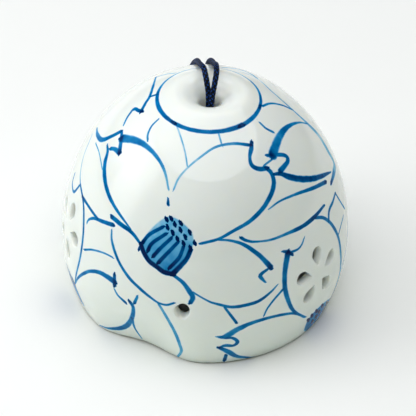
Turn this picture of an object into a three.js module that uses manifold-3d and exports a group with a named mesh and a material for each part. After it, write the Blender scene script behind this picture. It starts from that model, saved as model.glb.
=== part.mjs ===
// Porcelain wind bell: an egg-shaped glazed bell that stands on its rim, with its hanging cord,
// the knot under its crown, and the clapper inside. Millimetres, +Z up, the rim on z = 0.
// The front of the bell faces -Y. An azimuth is in degrees from the front towards +X.
import * as THREE from 'three';
import { mergeVertices } from 'three/addons/utils/BufferGeometryUtils.js';
import Module from 'manifold-3d';

// Bell: the outside is two half ellipses that meet where it is widest, turned round the axis and
// cut off flat at the rim
const BELL_RADIUS = 37.5;
const WIDEST_HEIGHT = 17.5;
const DOME_RISE = 45.5;
const LOWER_DROP = 40.4;
const WALL = 2.3;
const FOOT_ROUND = 0.5;

// Crown: a low swelling round a dish that runs down to the throat, and a narrow neck inside the bell
const CROWN_RADIUS = 13.4;
const CREST_RADIUS = 8.6;
const CREST_LIFT = 0.25;
const DISH_DEPTH = 2.3;
const DISH_SLOPE = 0.54;
const DISH_EDGE_RADIUS = 3.4;
const THROAT_RADIUS = 2.4;
const THROAT_ROUND = 1.1;
const NECK_DEPTH = 6.6;
const NECK_LENGTH = 3.8;
const NECK_ROUND = 0.5;

// Arch: one stretch of the rim is drawn up in a smooth wave that fades out in the wall
const ARCH_AZIMUTH = -26;
const ARCH_HALF_WIDTH = 27;
const ARCH_RISE = 3.9;
const ARCH_FADE = 20;

// Openwork: flowers of five petals cut by hand right through the wall. The tilt turns a flower
// clockwise, as seen from outside, from one petal upright
const FLOWERS = [
  { azimuth: 52.6, height: 22, tilt: 0 },
  { azimuth: -74.4, height: 24.2, tilt: 12 },
  { azimuth: 168, height: 22.8, tilt: -4 },
];
const PETAL_COUNT = 5;
const PETAL_RING = 5.6;
const PETAL_LENGTH = 5.3;
const PETAL_WIDTH = 3.7;
// As shares of half a petal: how high it is widest, and how full its point and its round end are
const PETAL_WIDEST = 0.3;
const PETAL_SWELL = 0.15;
const POINT_WIDTH = 0.6;
const POINT_LENGTH = 0.5;
const END_WIDTH = 0.55;
const END_LENGTH = 0.75;

// One small hole low on the front, a little taller than wide
const HOLE_AZIMUTH = -7.3;
const HOLE_HEIGHT = 20.4;
const HOLE_WIDTH = 3.4;
const HOLE_LENGTH = 4.3;

// Cords and knots
const CORD_DIAMETER = 1.5;
const CORD_SIDES = 8;
const CORD_STEPS = 66;
const STRAND_X = 0.3;
const STRAND_Y = 0.8;
const STOP_KNOT_RADIUS = 3.9;
const STOP_KNOT_HEIGHT = 6.3;
const CLAPPER_CORD_DIAMETER = 1;
const CLAPPER_KNOT_RADIUS = 2.2;
const CLAPPER_KNOT_HEIGHT = 3.4;
const LOWER_WRAP_SHARE = 0.8;

// Clapper: a glazed porcelain barrel with a bore, hung this far above the rim's plane, and a
// recess in its underside that takes the knot
const CLAPPER_RADIUS = 7.5;
const CLAPPER_END_RADIUS = 5.6;
const CLAPPER_HEIGHT = 13;
const CLAPPER_EDGE_ROUND = 1.2;
const CLAPPER_HANG = 5;
const CLAPPER_BORE = 1.8;
const RECESS_DIAMETER = 6;
const RECESS_DEPTH = 4.2;

// Gaps between pieces that touch on the real bell
const SEAT_GAP = 0.3;
const SWING_GAP = 0.4;

// Fineness of the turned pieces
const BELL_SIDES = 48;
const DOME_STEPS = 13;
const LOWER_STEPS = 5;
const CROWN_STEPS = 4;
const DISH_STEPS = 5;
const THROAT_STEPS = 3;
const ROUND_STEPS = 2;
const SMALL_SIDES = 24;
const BULGE_STEPS = 5;
const PETAL_STEPS = 4;
const WELD_DISTANCE = 1e-4;

// Heights that the pieces share
const innerRadius = BELL_RADIUS - WALL;
const innerRise = DOME_RISE - WALL;
const innerDrop = LOWER_DROP - WALL;
const domeHeight = (radius) => WIDEST_HEIGHT + DOME_RISE * Math.sqrt(1 - (radius / BELL_RADIUS) ** 2);
const ceilingHeight = (radius) => WIDEST_HEIGHT + innerRise * Math.sqrt(1 - (radius / innerRadius) ** 2);
const crestHeight = domeHeight(CREST_RADIUS) + CREST_LIFT;
const dishEdge = crestHeight - DISH_DEPTH;
const throatCorner = dishEdge - DISH_SLOPE * (DISH_EDGE_RADIUS - THROAT_RADIUS);
const neckTop = crestHeight - NECK_DEPTH;
const neckEnd = neckTop - NECK_LENGTH;
const stopKnotTop = neckEnd - SEAT_GAP;
const stopKnotBottom = stopKnotTop - STOP_KNOT_HEIGHT;
const recessTop = CLAPPER_HANG + RECESS_DEPTH;
const clapperKnotTop = recessTop - SEAT_GAP;

const radians = THREE.MathUtils.degToRad;
const point = (radius, height) => new THREE.Vector2(radius, height);

// Points along an ellipse from one angle to another, both ends included
function arc(centreRadius, centreHeight, radiusAcross, radiusUp, from, to, steps) {
  const curve = new THREE.EllipseCurve(
    centreRadius, centreHeight, radiusAcross, radiusUp, from, to, to < from);
  return curve.getPoints(steps);
}

// A section turned round the upright axis
function turned(section, sides) {
  const geometry = new THREE.LatheGeometry(section, sides);
  geometry.rotateX(Math.PI / 2);
  return geometry;
}

function weld(geometry) {
  geometry.deleteAttribute('normal');
  geometry.deleteAttribute('uv');
  return mergeVertices(geometry, WELD_DISTANCE);
}

const wasm = await Module();
wasm.setup();

function toSolid(geometry) {
  const welded = weld(geometry);
  return new wasm.Manifold(new wasm.Mesh({
    numProp: 3,
    vertProperties: new Float32Array(welded.attributes.position.array),
    triVerts: new Uint32Array(welded.index.array),
  }));
}

function toGeometry(solid) {
  const mesh = solid.getMesh();
  const geometry = new THREE.BufferGeometry();
  geometry.setAttribute('position', new THREE.BufferAttribute(mesh.vertProperties, 3));
  geometry.setIndex(new THREE.BufferAttribute(mesh.triVerts, 1));
  return geometry;
}

// The bell's section, from the foot up the outside, down through the throat and back inside
function bellSection() {
  const crownAngle = Math.acos(CROWN_RADIUS / BELL_RADIUS);
  const footAngle = Math.asin((FOOT_ROUND - WIDEST_HEIGHT) / LOWER_DROP);
  const innerFootAngle = Math.asin((FOOT_ROUND - WIDEST_HEIGHT) / innerDrop);
  const outside = [
    ...arc(0, WIDEST_HEIGHT, BELL_RADIUS, LOWER_DROP, footAngle, 0, LOWER_STEPS),
    ...arc(0, WIDEST_HEIGHT, BELL_RADIUS, DOME_RISE, 0, crownAngle, DOME_STEPS).slice(1),
  ];
  const crownFoot = outside[outside.length - 1];
  const crownSlope = (DOME_RISE / BELL_RADIUS) / Math.tan(crownAngle);
  const crownReach = (CROWN_RADIUS - CREST_RADIUS) / 3;
  const crown = new THREE.CubicBezierCurve(
    crownFoot,
    point(CROWN_RADIUS - crownReach, crownFoot.y + crownReach * crownSlope),
    point(CREST_RADIUS + crownReach, crestHeight),
    point(CREST_RADIUS, crestHeight));
  const dish = new THREE.QuadraticBezierCurve(
    point(CREST_RADIUS, crestHeight),
    point(DISH_EDGE_RADIUS + DISH_DEPTH / DISH_SLOPE, crestHeight),
    point(DISH_EDGE_RADIUS, dishEdge));
  const throat = new THREE.QuadraticBezierCurve(
    point(DISH_EDGE_RADIUS, dishEdge),
    point(THROAT_RADIUS, throatCorner),
    point(THROAT_RADIUS, throatCorner - THROAT_ROUND));
  const neckRadius = THROAT_RADIUS + WALL;
  const neckLip = [
    point(THROAT_RADIUS, neckEnd + NECK_ROUND),
    point(THROAT_RADIUS + NECK_ROUND, neckEnd),
    point(neckRadius - NECK_ROUND, neckEnd),
    point(neckRadius, neckEnd + NECK_ROUND),
  ];
  const underReach = CREST_RADIUS - neckRadius;
  const underDepth = ceilingHeight(CREST_RADIUS) - neckTop;
  const underDish = arc(
    CREST_RADIUS, neckTop, underReach, underDepth, Math.PI, Math.PI / 2, CROWN_STEPS);
  const ceilingAngle = Math.acos(CREST_RADIUS / innerRadius);
  const inside = [
    ...arc(0, WIDEST_HEIGHT, innerRadius, innerRise, ceilingAngle, 0, DOME_STEPS),
    ...arc(0, WIDEST_HEIGHT, innerRadius, innerDrop, 0, innerFootAngle, LOWER_STEPS).slice(1),
  ];
  const footOuter = outside[0].x - FOOT_ROUND;
  const footInner = inside[inside.length - 1].x + FOOT_ROUND;
  const heel = arc(footOuter, FOOT_ROUND, FOOT_ROUND, FOOT_ROUND, -Math.PI / 2, 0, ROUND_STEPS);
  const toe = arc(footInner, FOOT_ROUND, FOOT_ROUND, FOOT_ROUND, -Math.PI, -Math.PI / 2, ROUND_STEPS);
  return [
    ...heel,
    ...outside.slice(1),
    ...crown.getPoints(CROWN_STEPS).slice(1),
    ...dish.getPoints(DISH_STEPS).slice(1),
    ...throat.getPoints(THROAT_STEPS).slice(1),
    ...neckLip,
    ...underDish,
    ...inside.slice(1),
    ...toe.slice(1),
    heel[0].clone(),
  ];
}

// Draws the rim up in its one arch
function raiseArch(geometry) {
  const position = geometry.attributes.position;
  for (let i = 0; i < position.count; i += 1) {
    const azimuth = THREE.MathUtils.radToDeg(Math.atan2(position.getX(i), -position.getY(i)));
    const turn = Math.abs(THREE.MathUtils.euclideanModulo(azimuth - ARCH_AZIMUTH + 180, 360) - 180);
    if (turn < ARCH_HALF_WIDTH) {
      const wave = (1 + Math.cos(Math.PI * turn / ARCH_HALF_WIDTH)) / 2;
      const height = position.getZ(i);
      const fade = 1 - THREE.MathUtils.smoothstep(height, 0, ARCH_FADE);
      position.setZ(i, height + ARCH_RISE * wave * fade);
    }
  }
}

// A petal's outline about its own middle: a point at the flower's heart and a round outer end
function petalOutline() {
  const half = PETAL_LENGTH / 2;
  const side = PETAL_WIDTH / 2;
  const widest = half * PETAL_WIDEST;
  const swell = -half * PETAL_SWELL;
  const pointSide = side * POINT_WIDTH;
  const pointHeight = -half * POINT_LENGTH;
  const endSide = side * END_WIDTH;
  const endHeight = half * END_LENGTH;
  const outline = new THREE.Shape();
  outline.moveTo(0, -half);
  outline.bezierCurveTo(pointSide, pointHeight, side, swell, side, widest);
  outline.bezierCurveTo(side, endHeight, endSide, half, 0, half);
  outline.bezierCurveTo(-endSide, half, -side, endHeight, -side, widest);
  outline.bezierCurveTo(-side, swell, -pointSide, pointHeight, 0, -half);
  return outline;
}

function holeOutline() {
  const outline = new THREE.Shape();
  outline.absellipse(0, 0, HOLE_WIDTH / 2, HOLE_LENGTH / 2, 0, 2 * Math.PI, false, 0);
  return outline;
}

// An outline run square through the wall at one place, turned clockwise as seen from outside
function wallCutter(outline, azimuth, height, turn) {
  const reach = 2 * WALL;
  const start = innerRadius - reach;
  const geometry = new THREE.ExtrudeGeometry(outline, {
    depth: WALL + 2 * reach,
    bevelEnabled: false,
    curveSegments: PETAL_STEPS,
  });
  const sine = Math.sin(azimuth);
  const cosine = Math.cos(azimuth);
  const outward = new THREE.Vector3(sine, -cosine, 0);
  const sideways = new THREE.Vector3(cosine, sine, 0);
  const frame = new THREE.Matrix4().makeBasis(sideways, new THREE.Vector3(0, 0, 1), outward);
  frame.setPosition(start * outward.x, start * outward.y, height);
  geometry.rotateZ(-turn);
  geometry.applyMatrix4(frame);
  return toSolid(geometry);
}

function flowerCutters(flower) {
  const cutters = [];
  for (let petal = 0; petal < PETAL_COUNT; petal += 1) {
    const turn = radians(flower.tilt) + 2 * Math.PI * petal / PETAL_COUNT;
    const azimuth = radians(flower.azimuth) + PETAL_RING * Math.sin(turn) / BELL_RADIUS;
    const height = flower.height + PETAL_RING * Math.cos(turn);
    cutters.push(wallCutter(petalOutline(), azimuth, height, turn));
  }
  return cutters;
}

function bellShell() {
  const body = turned(bellSection(), BELL_SIDES);
  raiseArch(body);
  const cutters = FLOWERS.flatMap(flowerCutters);
  cutters.push(wallCutter(holeOutline(), radians(HOLE_AZIMUTH), HOLE_HEIGHT, 0));
  let shell = toSolid(body);
  for (const cutter of cutters) {
    shell = shell.subtract(cutter);
  }
  return toGeometry(shell);
}

// The doubled cord's way: up one strand, over the crown, down the back of the bell to a round
// turn near the table, and back up the other strand
function hangingCordRoute() {
  return new THREE.CatmullRomCurve3([
    new THREE.Vector3(-STRAND_X, STRAND_Y, neckEnd),
    new THREE.Vector3(-STRAND_X, STRAND_Y, 57),
    new THREE.Vector3(-0.4, 0.9, 60.5),
    new THREE.Vector3(-0.8, 1.6, 63.1),
    new THREE.Vector3(-1.35, 3.4, 64.8),
    new THREE.Vector3(-1.9, 6, 65.1),
    new THREE.Vector3(-2.5, 9, 63.7),
    new THREE.Vector3(-3, 12.5, 61.6),
    new THREE.Vector3(-3.4, 16.5, 59.25),
    new THREE.Vector3(-3.8, 20.5, 56.5),
    new THREE.Vector3(-4.6, 25, 52.3),
    new THREE.Vector3(-5.6, 29.8, 46),
    new THREE.Vector3(-6.8, 33.9, 37.6),
    new THREE.Vector3(-7.9, 36.5, 28.6),
    new THREE.Vector3(-8.8, 37.45, 18),
    new THREE.Vector3(-9, 37.6, 10.6),
    new THREE.Vector3(-8.1, 37.9, 5.6),
    new THREE.Vector3(-5.8, 38.1, 3.6),
    new THREE.Vector3(-3.5, 38.3, 5.6),
    new THREE.Vector3(-2.6, 38.4, 10.6),
    new THREE.Vector3(-2.4, 38.4, 18),
    new THREE.Vector3(-2.2, 37.45, 28),
    new THREE.Vector3(-1.8, 34.8, 37),
    new THREE.Vector3(-1.3, 30.65, 45.4),
    new THREE.Vector3(-0.8, 25.65, 52),
    new THREE.Vector3(-0.3, 21, 56.35),
    new THREE.Vector3(0.2, 17.5, 58.8),
    new THREE.Vector3(0.6, 14, 60.8),
    new THREE.Vector3(0.95, 11.2, 62.6),
    new THREE.Vector3(1.2, 8.4, 64.5),
    new THREE.Vector3(1.35, 5.4, 65.9),
    new THREE.Vector3(1.4, 2.6, 66.2),
    new THREE.Vector3(1.1, 0.5, 64.7),
    new THREE.Vector3(0.6, -0.6, 61.2),
    new THREE.Vector3(STRAND_X, -STRAND_Y, 57),
    new THREE.Vector3(STRAND_X, -STRAND_Y, neckEnd),
  ]);
}

function hangingCord() {
  const corners = [];
  for (let side = 0; side < CORD_SIDES; side += 1) {
    const turn = 2 * Math.PI * side / CORD_SIDES;
    corners.push(point(CORD_DIAMETER / 2 * Math.cos(turn), CORD_DIAMETER / 2 * Math.sin(turn)));
  }
  return new THREE.ExtrudeGeometry(new THREE.Shape(corners), {
    steps: CORD_STEPS,
    extrudePath: hangingCordRoute(),
  });
}

// A knot drawn tight: two round wraps of cord, flat where it bears on what it holds
function knot(top, radius, height) {
  const wrap = height / 4;
  const bulge = radius - wrap;
  const section = [
    point(0, top - height),
    ...arc(bulge * LOWER_WRAP_SHARE, top - 3 * wrap, wrap, wrap, -Math.PI / 2, Math.PI / 3, BULGE_STEPS),
    ...arc(bulge, top - wrap, wrap, wrap, -Math.PI / 3, Math.PI / 2, BULGE_STEPS),
    point(0, top),
  ];
  return turned(section, SMALL_SIDES);
}

// The short straight cord under the stop knot, with a round top end that clears the knot
function clapperCord() {
  const radius = CLAPPER_CORD_DIAMETER / 2;
  const crown = stopKnotBottom - SWING_GAP - radius;
  const section = [
    point(0, recessTop),
    point(radius, recessTop),
    ...arc(0, crown, radius, radius, 0, Math.PI / 2, BULGE_STEPS),
  ];
  return turned(section, CORD_SIDES);
}

function clapper() {
  const bore = CLAPPER_BORE / 2;
  const middle = CLAPPER_HANG + CLAPPER_HEIGHT / 2;
  const waist = CLAPPER_RADIUS - CLAPPER_END_RADIUS;
  const straight = CLAPPER_HEIGHT / 2 - CLAPPER_EDGE_ROUND;
  const side = arc(CLAPPER_END_RADIUS, middle, waist, straight, -Math.PI / 2, Math.PI / 2, 2 * BULGE_STEPS);
  const edge = CLAPPER_END_RADIUS - CLAPPER_EDGE_ROUND;
  const section = [
    point(RECESS_DIAMETER / 2, CLAPPER_HANG),
    point(edge, CLAPPER_HANG),
    ...side,
    point(edge, CLAPPER_HANG + CLAPPER_HEIGHT),
    point(bore, CLAPPER_HANG + CLAPPER_HEIGHT),
    point(bore, recessTop),
    point(RECESS_DIAMETER / 2, recessTop),
    point(RECESS_DIAMETER / 2, CLAPPER_HANG),
  ];
  return turned(section, SMALL_SIDES);
}

const GLAZED_PORCELAIN = { color: 0xf1f4f0, roughness: 0.1, metalness: 0 };
const NAVY_CORD = { color: 0x141e3c, roughness: 0.8, metalness: 0 };

function piece(name, geometry, look) {
  const mesh = new THREE.Mesh(weld(geometry), new THREE.MeshStandardMaterial(look));
  mesh.name = name;
  return mesh;
}

const windBell = new THREE.Group();
windBell.add(
  piece('bell_shell', bellShell(), GLAZED_PORCELAIN),
  piece('hanging_cord', hangingCord(), NAVY_CORD),
  piece('stop_knot', knot(stopKnotTop, STOP_KNOT_RADIUS, STOP_KNOT_HEIGHT), NAVY_CORD),
  piece('clapper_cord', clapperCord(), NAVY_CORD),
  piece('clapper', clapper(), GLAZED_PORCELAIN),
  piece('clapper_knot', knot(clapperKnotTop, CLAPPER_KNOT_RADIUS, CLAPPER_KNOT_HEIGHT), NAVY_CORD),
);

export default windBell;
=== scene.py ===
# Porcelain wind bell: how its pieces look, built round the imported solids.
# +Z up, the rim on z = 0, the front towards -Y. Sizes are in millimetres, but the room's are in metres.
import math

import bmesh
import bpy
import numpy as np
from mathutils import Matrix, Vector


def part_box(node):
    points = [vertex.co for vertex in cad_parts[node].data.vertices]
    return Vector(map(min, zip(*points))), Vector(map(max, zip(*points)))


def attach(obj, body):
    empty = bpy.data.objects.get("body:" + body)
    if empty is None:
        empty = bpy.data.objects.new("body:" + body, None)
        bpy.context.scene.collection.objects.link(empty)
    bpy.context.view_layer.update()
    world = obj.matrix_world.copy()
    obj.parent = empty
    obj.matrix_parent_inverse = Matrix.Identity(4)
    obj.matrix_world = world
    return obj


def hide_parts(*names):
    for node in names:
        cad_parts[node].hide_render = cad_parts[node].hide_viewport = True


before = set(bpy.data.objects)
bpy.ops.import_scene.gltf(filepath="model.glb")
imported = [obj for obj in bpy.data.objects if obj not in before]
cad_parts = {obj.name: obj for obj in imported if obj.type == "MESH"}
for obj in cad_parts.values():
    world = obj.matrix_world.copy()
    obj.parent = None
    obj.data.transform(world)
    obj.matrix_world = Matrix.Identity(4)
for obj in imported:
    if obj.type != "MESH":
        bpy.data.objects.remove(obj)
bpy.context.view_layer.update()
MM = 0.001

# Camera: a long lens, from above, with the small tilt that the picture has
VIEW_DISTANCE = 900
VIEW_ELEVATION = 39.1
VIEW_ROLL = 2.2
VIEW_AIM = (0.58, 0, 24.1)
LENS = 298.5


def look_along(azimuth, elevation, roll=0):
    """Axes of a picture of the bell: to its right, up it, and towards the viewer."""
    turn = Matrix.Rotation(math.radians(azimuth), 3, "Z")
    turn = turn @ Matrix.Rotation(math.radians(90 - elevation), 3, "X")
    turn = turn @ Matrix.Rotation(math.radians(roll), 3, "Z")
    return np.array(turn).T


def turn_to_bell(thing, azimuth, elevation, roll=0):
    """Turns a camera or a lamp towards the bell, and gives the way from the bell to it."""
    right, up, back = look_along(azimuth, elevation, roll)
    thing.matrix_world = Matrix((right, up, back)).transposed().to_4x4()
    bpy.context.collection.objects.link(thing)
    return Vector(back)


def set_camera():
    lens = bpy.data.cameras.new("camera")
    lens.lens = LENS
    camera = bpy.data.objects.new("camera", lens)
    back = turn_to_bell(camera, 0, VIEW_ELEVATION, VIEW_ROLL)
    camera.location = Vector(VIEW_AIM) * MM + back * VIEW_DISTANCE * MM
    bpy.context.scene.camera = camera


set_camera()
bpy.context.scene.view_settings.view_transform = "Standard"

# Bell: the sizes of its solid, apart from the dish, the arch and the scraped edge of its hole
bell_low, bell_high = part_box("bell_shell")
BELL_RADIUS = (bell_high.x - bell_low.x) / 2 / MM
WIDEST_HEIGHT = 17.5
DOME_RISE = 45.5
LOWER_DROP = 40.4
WALL = 2.3
FOOT_ROUND = 0.5
CROWN_RADIUS = 13.4
CREST_RADIUS = 8.6
CREST_HEIGHT = bell_high.z / MM
THROAT_RADIUS = 2.4
# Dish round the throat: radius, and depth under the crest
DISH = ((7.2, 0.12), (6, 0.5), (5, 1.05), (4.3, 1.55), (3.6, 2.15), (3.2, 2.6), (2.8, 3.4), (2.5, 4.6),
        (THROAT_RADIUS, 5.8))
NECK_TOP = CREST_HEIGHT - 6.6
NECK_END = NECK_TOP - 3.8
NECK_ROUND = 0.5
# Arch in the rim: the wall is pressed in there, and its edge drawn up a little
ARCH_AZIMUTH = -26.8
ARCH_HALF_WIDTH = 27.7
ARCH_RISE = 0.4
ARCH_PRESS = 3.57
ARCH_FADE = 24
# Pierced flowers: azimuth, height and clockwise tilt
FLOWERS = ((52.6, 22, 0), (-74.4, 24.2, 12), (168, 22.8, -4))
PETAL_COUNT = 5
PETAL_RING = 5.6
PETAL_LENGTH = 5.3
PETAL_WIDTH = 3.7
# Right half of a petal, from its point to its round end, in half widths and half lengths
PETAL_SIDE = ((0, -1), (0.62, -0.42), (1, 0.28), (0.62, 0.86), (0, 1))
# Hole in the front, scraped wider towards its lower left
HOLE_AZIMUTH = -7.3
HOLE_HEIGHT = 20.4
HOLE_WIDTH = 3.4
HOLE_LENGTH = 4.3
HOLE_FLARE = 1.1
HOLE_FLARE_DEPTH = 1.7
HOLE_FLARE_WAY = (-0.6, -0.8)
# Glazed lip of a pierced edge: its round, and the angle at which it leaves the wall
LIP_ROUND = 0.35
LIP_START = 12
# Cutter of a pierced edge: how wide and high its mouth is in lip rounds, and its depth in walls
CUTTER_MOUTH = 2.2
CUTTER_RISE = 0.45
CUTTER_DEPTH = 2.2

# Cords and knots
CORD_DIAMETER = 1.5
CLAPPER_CORD_DIAMETER = 1

# Fineness: spacing along each stretch of the wall's section, and steps of curves and of turned pieces
HEEL_GRID = 0.18
PAINT_GRID = 0.66
DISH_GRID = 0.4
ROUND_GRID = 0.3
CEILING_GRID = 1
INNER_GRID = 2.2
CLAPPER_GRID = 0.4
OVAL_POINTS = 240
SWELL_POINTS = 80
PETAL_STEPS = 7
HOLE_STEPS = 32
LIP_STEPS = 6
TURNS = 360
CLAPPER_TURNS = 96
# Points closer than these are one: of a section, and of a turned piece
SAME_POINT = 0.01
WELD = 0.0005


def evenly(points, spacing):
    """The same line with its points a set distance apart."""
    points = np.asarray(points, float)
    along = np.concatenate([[0], np.cumsum(np.linalg.norm(np.diff(points, axis=0), axis=1))])
    wanted = np.linspace(0, along[-1], max(2, round(along[-1] / spacing) + 1))
    return np.stack([np.interp(wanted, along, column) for column in points.T], 1)


def smooth(points, steps=12):
    """A smooth line through a few points."""
    points = np.asarray(points, float)
    ends = np.vstack([2 * points[0] - points[1], points, 2 * points[-1] - points[-2]])
    before, start, end, after = ends[:-3, None], ends[1:-2, None], ends[2:-1, None], ends[3:, None]
    t = np.linspace(0, 1, steps, endpoint=False)[None, :, None]
    line = 0.5 * (2 * start + (end - before) * t + (2 * before - 5 * start + 4 * end - after) * t**2
                  + (3 * start - before - 3 * end + after) * t**3)
    return np.vstack([line.reshape(-1, points.shape[1]), points[-1:]])


def oval(across, up, radius, rise, start, end):
    """A stretch of an oval about a middle, between two angles."""
    turn = np.radians(np.linspace(start, end, OVAL_POINTS))
    return np.stack([across + radius * np.cos(turn), up + rise * np.sin(turn)], 1)


def unit(vectors):
    return vectors / np.linalg.norm(vectors, axis=1)[:, None]


def spun(section, steps):
    """A closed section of radius and height, turned round the bell's axis."""
    bm = bmesh.new()
    chain = [bm.verts.new((radius, 0, height)) for radius, height in section]
    for one, other in zip(chain, chain[1:] + chain[:1]):
        bm.edges.new((one, other))
    bmesh.ops.spin(bm, geom=bm.verts[:] + bm.edges[:], cent=(0, 0, 0), axis=(0, 0, 1), angle=2 * math.pi,
                   steps=steps, use_merge=True)
    bmesh.ops.remove_doubles(bm, verts=bm.verts, dist=WELD)
    bmesh.ops.recalc_face_normals(bm, faces=bm.faces)
    return bm


def made_mesh(name, bm):
    mesh = bpy.data.meshes.new(name)
    bm.to_mesh(mesh)
    bm.free()
    return mesh


def finished(name, mesh, material, body, *nodes):
    """A piece from a mesh in millimetres, smooth, on its body and in place of its solids."""
    mesh.name = name
    mesh.transform(Matrix.Scale(MM, 4))
    mesh.shade_smooth()
    mesh.materials.append(material)
    piece = bpy.data.objects.new(name, mesh)
    bpy.context.collection.objects.link(piece)
    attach(piece, body)
    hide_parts(*nodes)
    return piece


def linear(code):
    """A colour written in sRGB hex, as the linear values that a socket takes."""
    parts = [int(code[i:i + 2], 16) / 255 for i in (1, 3, 5)]
    return [p / 12.92 if p <= 0.04045 else ((p + 0.055) / 1.055) ** 2.4 for p in parts] + [1]


def add(material, kind, links=None, **settings):
    """One node with its settings and links. A link's key is an input's name or number, and its value is a
    socket or a constant."""
    node = material.node_tree.nodes.new("ShaderNode" + kind)
    for key, value in settings.items():
        if hasattr(node, key):
            setattr(node, key, value)
        else:
            node.inputs[key.replace("_", " ")].default_value = value
    for key, value in (links or {}).items():
        if isinstance(value, bpy.types.NodeSocket):
            material.node_tree.links.new(value, node.inputs[key])
        else:
            node.inputs[key].default_value = value
    return node


def new_material(name):
    material = bpy.data.materials.new(name)
    material.use_nodes = True
    return material, material.node_tree.nodes["Principled BSDF"]


# Cord: a round braid of eight polyester yarns, four each way, soft and matt
BRAID_YARNS = 4
BRAID_PITCH = 5.2
BRAID_RELIEF = 0.09
BRAID_FUZZ = 0.35
BRAID_SIDES = 24
BRAID_SPACING = 0.13
BRAID_WELD = 0.002


def braided_polyester():
    """Tight navy braid, with painted light and shade: blue on the crown of each yarn and nearly black in the
    dips between yarns.
    """
    material, shader = new_material("braided_polyester")
    yarn = add(material, "Attribute", attribute_name="yarn")
    fuzz = add(material, "TexNoise", {"Vector": add(material, "TexCoord").outputs["Object"]},
               Scale=1 / (BRAID_FUZZ * MM), Detail=3)
    uneven = add(material, "MapRange", {"Value": fuzz.outputs["Fac"], "From Min": 0.3, "From Max": 0.7,
                                        "To Min": 0.7, "To Max": 1.0})
    crown_height = add(material, "Math", {0: yarn.outputs["Fac"], 1: uneven.outputs[0]}, operation="MULTIPLY")
    # Painted highlight and shade: the higher a yarn stands, the bluer it is; the dips between yarns are
    # nearly black.
    painted_crown_light = add(material, "ValToRGB", {"Fac": crown_height.outputs[0]})
    low, high = painted_crown_light.color_ramp.elements
    low.color, low.position = linear("#010205"), 0.62
    high.color, high.position = linear("#2A62C4"), 0.95
    material.node_tree.links.new(painted_crown_light.outputs["Color"], shader.inputs["Base Color"])
    shader.inputs["Roughness"].default_value = 0.6
    shader.inputs["Specular IOR Level"].default_value = 0.1
    return material


def braid(name, line, diameter, material, body, *nodes):
    """A braided cord along a line: a tube whose yarns cross over and under each other."""
    line = evenly(line, BRAID_SPACING)
    along = np.arange(len(line)) * np.linalg.norm(line[1] - line[0])
    ahead = unit(np.gradient(line, axis=0))
    steep = abs(ahead[0][2]) >= 0.9
    side = np.cross(ahead[0], (1, 0.2, 0) if steep else (0.3, 0.2, 1))
    across = []
    for direction in ahead:
        side = side - direction * (side @ direction)
        side = side / np.linalg.norm(side)
        across.append(side)
    upward = np.cross(ahead, across)
    bm = bmesh.new()
    bmesh.ops.create_grid(bm, x_segments=BRAID_SIDES, y_segments=len(line) - 1, size=0.5)
    yarn = bm.verts.layers.float.new("yarn")
    for vert in bm.verts:
        ring = min(len(line) - 1, round((vert.co.y + 0.5) * (len(line) - 1)))
        turn = 2 * math.pi * (vert.co.x + 0.5)
        around, wound = BRAID_YARNS * turn / (2 * math.pi), along[ring] / BRAID_PITCH * BRAID_YARNS
        first, second = math.cos(math.pi * (around + wound)), math.cos(math.pi * (around - wound))
        over = 0.5 + 0.5 * first * second
        height = max(abs(first) * (0.5 + 0.5 * over), abs(second) * (1 - 0.5 * over))
        vert[yarn] = height
        reach = diameter / 2 * (1 - BRAID_RELIEF * (1 - height))
        vert.co = line[ring] + reach * (math.cos(turn) * across[ring] + math.sin(turn) * upward[ring])
    bmesh.ops.remove_doubles(bm, verts=bm.verts, dist=BRAID_WELD)
    bmesh.ops.holes_fill(bm, edges=[e for e in bm.edges if e.is_boundary], sides=0)
    bmesh.ops.recalc_face_normals(bm, faces=bm.faces)
    piece = finished(name, made_mesh(name, bm), material, body, *nodes)
    return piece, line


# The doubled cord's way: up one strand, over the crown, down behind the bell and back
CORD_ROUTE = ((-0.3, 0.8, NECK_END), (-0.3, 0.8, 57), (-0.4, 0.9, 60.5), (-0.8, 1.6, 63.1),
              (-1.35, 3.4, 64.8), (-1.9, 6, 65.1), (-2.5, 9, 63.7), (-3, 12.5, 61.6), (-3.4, 16.5, 59.25),
              (-3.8, 20.5, 56.5), (-4.6, 25, 52.3), (-5.6, 29.8, 46), (-6.8, 33.9, 37.6), (-7.9, 36.5, 28.6),
              (-8.8, 37.45, 18), (-9, 37.6, 10.6), (-8.1, 37.9, 5.6), (-5.8, 38.1, 3.6), (-3.5, 38.3, 5.6),
              (-2.6, 38.4, 10.6), (-2.4, 38.4, 18), (-2.2, 37.45, 28), (-1.8, 34.8, 37), (-1.3, 30.65, 45.4),
              (-0.8, 25.65, 52), (-0.3, 21, 56.35), (0.2, 17.5, 58.8), (0.6, 14, 60.8), (0.95, 11.2, 62.6),
              (1.2, 8.4, 64.5), (1.35, 5.4, 65.9), (1.4, 2.6, 66.2), (1.1, 0.5, 64.7), (0.6, -0.6, 61.2),
              (0.3, -0.8, 57), (0.3, -0.8, NECK_END))


def hang_cord(material):
    cord, line = braid("hanging_cord_braid", smooth(CORD_ROUTE), CORD_DIAMETER, material, "bell",
                       "hanging_cord")


polyester = braided_polyester()
hang_cord(polyester)


# Bell: shape
def dome(radius):
    """How high the dome's outside is at a distance from the bell's axis."""
    return WIDEST_HEIGHT + DOME_RISE * math.sqrt(1 - (radius / BELL_RADIUS) ** 2)


def half_height(height):
    """How tall the half of the wall is that a height lies in: the dome's or the lower one's."""
    return np.where(height < WIDEST_HEIGHT, LOWER_DROP, DOME_RISE)


def wall_slope(spots):
    """Which way the round wall faces at some spots, longer where it is steeper."""
    sizes = np.stack([np.full(len(spots), BELL_RADIUS)] * 2 + [half_height(spots[:, 2])], 1)
    return (spots - [0, 0, WIDEST_HEIGHT]) / sizes**2


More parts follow.
